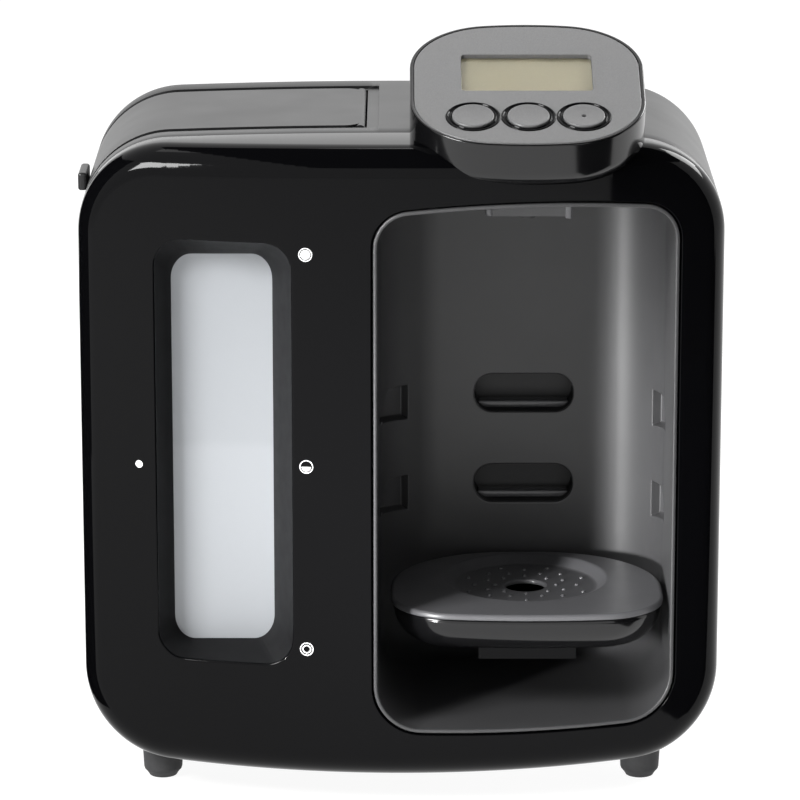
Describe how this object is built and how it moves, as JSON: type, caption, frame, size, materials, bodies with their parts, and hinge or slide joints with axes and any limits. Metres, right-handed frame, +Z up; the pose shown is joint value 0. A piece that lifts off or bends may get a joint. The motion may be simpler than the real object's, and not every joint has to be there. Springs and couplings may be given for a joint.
{
  "type": "baby formula maker",
  "caption": "Counter-top machine that warms filtered water and pours it into a feeding bottle on a stand in an open bay.",
  "frame": {"origin": "on the table, under the middle of the machine's box", "axes": "+Z up, +Y from the front to the back, +X to the right seen from the front"},
  "size_m": [0.2826, 0.1694, 0.3345],
  "materials": {
    "gloss_black": "high gloss moulded black",
    "satin_black": "satin moulded black",
    "bay_grey": "satin charcoal",
    "stand_grey": "satin dark grey",
    "foot_rubber": "matt dark grey",
    "frosted": "frosted translucent",
    "tank_clear": "translucent",
    "face_silver": "fine grained silver grey paint",
    "lcd_glass": "clear",
    "lcd": "unlit liquid crystal, beige grey",
    "circuit_board": "solder mask green",
    "white_plastic": "moulded white",
    "steel": "brushed",
    "brass": "turned",
    "silicone": "translucent silicone",
    "black_plastic": "moulded black"
  },
  "bodies": {
    "machine": {"front_fascia": "gloss_black", "rear_housing": "satin_black", "base_plate": "satin_black", "base_screws": "steel", "feet": "foot_rubber", "bay_liner": "bay_grey", "nozzle_block": "bay_grey", "nozzle_tip": "foot_rubber", "water_tank": "tank_clear", "tank_window": "frosted", "tank_cradle": "black_plastic", "filter_tray": "white_plastic", "filter_cartridge": "white_plastic", "filter_cap": "white_plastic", "lid_frame": "satin_black", "lid_hinge_pin": "steel", "head_housing": "gloss_black", "control_face": "face_silver", "lcd_lens": "lcd_glass", "lcd_module": "lcd", "control_board": "circuit_board", "button_switches": "black_plastic", "buzzer": "black_plastic", "control_board_screws": "steel", "button_rings": "black_plastic", "chassis_plate": "white_plastic", "pump_volute": "black_plastic", "pump_cover": "black_plastic", "pump_motor": "steel", "pump_bracket": "white_plastic", "boiler_tube": "steel", "boiler_bottom_cap": "white_plastic", "boiler_top_cap": "white_plastic", "heating_element": "steel", "thermostat": "black_plastic", "thermal_fuse": "brass", "boiler_bracket": "white_plastic", "valve_body": "brass", "valve_coil": "black_plastic", "valve_spring": "steel", "tank_hose": "silicone", "boiler_hose": "silicone", "valve_hose": "silicone", "nozzle_hose": "silicone", "power_board": "circuit_board", "board_screws": "steel", "transformer": "black_plastic", "board_components": "black_plastic", "mains_inlet": "black_plastic"},
    "lid": {"tank_lid": "satin_black"},
    "stand": {"drip_tray": "gloss_black", "stand_bracket": "gloss_black"},
    "cover": {"tray_cover": "stand_grey"},
    "button_a": {"button_1": "face_silver"},
    "button_b": {"button_2": "face_silver"},
    "button_c": {"button_3": "face_silver"},
    "pump_rotor": {"pump_impeller": "white_plastic", "pump_shaft": "steel"},
    "plunger": {"valve_plunger": "steel"}
  },
  "joints": [
    {"name": "lid_hinge", "type": "hinge", "parent": "machine", "child": "lid", "pos_m": [-0.0179, 0.0203, 0.2936], "axis": [0, 1, 0], "range_deg": [0, 85]},
    {"name": "stand_slide", "type": "slide", "parent": "machine", "child": "stand", "axis": [0, -1, 0], "range_m": [0, 0.03]},
    {"name": "cover_lift", "type": "slide", "parent": "stand", "child": "cover", "axis": [0, 0, 1], "range_m": [0, 0.02]},
    {"name": "button_a_press", "type": "slide", "parent": "machine", "child": "button_a", "axis": [0, 0.3469, -0.9379], "range_m": [0, 0.0008], "stiffness_N_per_m": 400},
    {"name": "button_b_press", "type": "slide", "parent": "machine", "child": "button_b", "axis": [0, 0.3469, -0.9379], "range_m": [0, 0.0008], "stiffness_N_per_m": 400},
    {"name": "button_c_press", "type": "slide", "parent": "machine", "child": "button_c", "axis": [0, 0.3469, -0.9379], "range_m": [0, 0.0008], "stiffness_N_per_m": 400},
    {"name": "pump_spin", "type": "hinge", "parent": "machine", "child": "pump_rotor", "pos_m": [0.016, 0.06, 0.048], "axis": [0, 0, 1], "continuous": true},
    {"name": "plunger_slide", "type": "slide", "parent": "machine", "child": "plunger", "axis": [0, 0, -1], "range_m": [0, 0.002], "stiffness_N_per_m": 800, "deforming": ["valve_spring"]}
  ]
}
